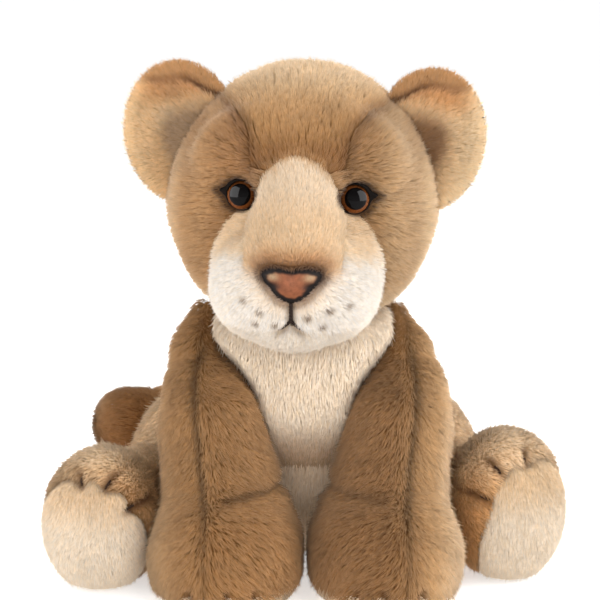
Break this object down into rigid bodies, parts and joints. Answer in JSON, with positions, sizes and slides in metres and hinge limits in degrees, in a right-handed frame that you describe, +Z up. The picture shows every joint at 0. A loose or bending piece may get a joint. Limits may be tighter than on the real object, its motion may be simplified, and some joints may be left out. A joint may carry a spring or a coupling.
{
  "type": "plush cougar",
  "caption": "Seated plush cougar cub with a tan pile coat, cream chest and muzzle, rounded ears, glossy brown eyes, a sewn nose and soft limbs that flex at their seams.",
  "frame": {"origin": "on the surface that the toy sits on, under the middle of its outline in plan", "axes": "+Z up, the toy faces -Y, +X to the right of a viewer who looks at its face"},
  "size_m": [0.2472, 0.2126, 0.2498],
  "materials": {
    "plush_tan": "short tan pile with paler tips",
    "plush_cream": "short cream pile",
    "plush_white": "off-white pile",
    "plush_peach": "peach pile, clipped short",
    "plush_dark": "dark brown pile",
    "stuffing": "loose white polyester fibre",
    "pellet_cotton": "plain woven cotton",
    "eye_plastic": "polished, brown iris and black pupil",
    "washer_plastic": "plain moulded",
    "black_felt": "matt felt",
    "nose_suede": "matt brushed suede cloth",
    "dark_thread": "matt embroidery thread"
  },
  "bodies": {
    "torso": {"chest_panel": "plush_cream", "belly_panel": "plush_cream", "back_panel_left": "plush_tan", "back_panel_right": "plush_tan", "seat_panel": "plush_tan", "torso_stuffing": "stuffing", "pellet_bag": "pellet_cotton"},
    "neck": {"neck_stuffing": "stuffing"},
    "head": {"crown_gusset": "plush_tan", "nose_bridge_panel": "plush_cream", "face_side_left": "plush_tan", "face_side_right": "plush_tan", "muzzle_left": "plush_white", "muzzle_right": "plush_white", "chin_panel": "plush_white", "head_back_panel": "plush_tan", "head_stuffing": "stuffing", "eye_left": "eye_plastic", "eye_washer_left": "washer_plastic", "eye_felt_left": "black_felt", "eye_right": "eye_plastic", "eye_washer_right": "washer_plastic", "eye_felt_right": "black_felt", "nose_patch": "nose_suede", "mouth_stitch": "dark_thread"},
    "ear_left": {"ear_back_left": "plush_tan", "ear_lining_left": "plush_peach"},
    "foreleg_left": {"foreleg_outer_panel_left": "plush_tan", "foreleg_inner_panel_left": "plush_tan", "forepaw_sole_left": "plush_cream", "foreleg_stuffing_left": "stuffing", "forepaw_toe_stitch_left_1": "dark_thread", "forepaw_toe_stitch_left_2": "dark_thread", "forepaw_toe_stitch_left_3": "dark_thread"},
    "hind_leg_left": {"hind_leg_outer_panel_left": "plush_tan", "hind_leg_inner_panel_left": "plush_tan", "hind_foot_sole_left": "plush_cream", "hind_leg_stuffing_left": "stuffing", "hind_toe_stitch_left_1": "dark_thread", "hind_toe_stitch_left_2": "dark_thread", "hind_toe_stitch_left_3": "dark_thread"},
    "ear_right": {"ear_back_right": "plush_tan", "ear_lining_right": "plush_peach"},
    "foreleg_right": {"foreleg_outer_panel_right": "plush_tan", "foreleg_inner_panel_right": "plush_tan", "forepaw_sole_right": "plush_cream", "foreleg_stuffing_right": "stuffing", "forepaw_toe_stitch_right_1": "dark_thread", "forepaw_toe_stitch_right_2": "dark_thread", "forepaw_toe_stitch_right_3": "dark_thread"},
    "hind_leg_right": {"hind_leg_outer_panel_right": "plush_tan", "hind_leg_inner_panel_right": "plush_tan", "hind_foot_sole_right": "plush_cream", "hind_leg_stuffing_right": "stuffing", "hind_toe_stitch_right_1": "dark_thread", "hind_toe_stitch_right_2": "dark_thread", "hind_toe_stitch_right_3": "dark_thread"},
    "tail": {"tail_cover": "plush_tan", "tail_tip": "plush_dark", "tail_stuffing": "stuffing"}
  },
  "joints": [
    {"name": "head_turn", "type": "hinge", "parent": "torso", "child": "neck", "pos_m": [-0.00094, -0.00071, 0.126], "axis": [0, 0, 1], "range_deg": [-25, 25], "stiffness_Nm_per_rad": 0.5},
    {"name": "head_nod", "type": "hinge", "parent": "neck", "child": "head", "pos_m": [-0.00094, -0.00071, 0.126], "axis": [1, 0, 0], "range_deg": [-14, 4], "stiffness_Nm_per_rad": 0.9},
    {"name": "ear_left_fold", "type": "hinge", "parent": "head", "child": "ear_left", "pos_m": [-0.05234, -0.00303, 0.21453], "axis": [0.437, -0.0229, 0.8991], "range_deg": [-12, 12], "stiffness_Nm_per_rad": 0.05},
    {"name": "ear_right_fold", "type": "hinge", "parent": "head", "child": "ear_right", "pos_m": [0.05147, -0.00847, 0.21144], "axis": [-0.383, 0.0201, 0.9235], "range_deg": [-12, 12], "stiffness_Nm_per_rad": 0.05},
    {"name": "foreleg_left_lift", "type": "hinge", "parent": "torso", "child": "foreleg_left", "pos_m": [-0.04844, -0.0187, 0.108], "axis": [-1, 0, 0], "range_deg": [0, 20], "stiffness_Nm_per_rad": 0.3},
    {"name": "foreleg_right_lift", "type": "hinge", "parent": "torso", "child": "foreleg_right", "pos_m": [0.04756, -0.0187, 0.108], "axis": [-1, 0, 0], "range_deg": [0, 20], "stiffness_Nm_per_rad": 0.3},
    {"name": "hind_leg_left_spread", "type": "hinge", "parent": "torso", "child": "hind_leg_left", "pos_m": [-0.05844, 0.0273, 0.038], "axis": [0, 0, -1], "range_deg": [0, 20], "stiffness_Nm_per_rad": 0.3},
    {"name": "hind_leg_right_spread", "type": "hinge", "parent": "torso", "child": "hind_leg_right", "pos_m": [0.05756, 0.0273, 0.038], "axis": [0, 0, 1], "range_deg": [0, 20], "stiffness_Nm_per_rad": 0.3},
    {"name": "tail_swing", "type": "hinge", "parent": "torso", "child": "tail", "pos_m": [-0.00244, 0.0673, 0.036], "axis": [0, 0, -1], "range_deg": [0, 40], "stiffness_Nm_per_rad": 0.12}
  ]
}
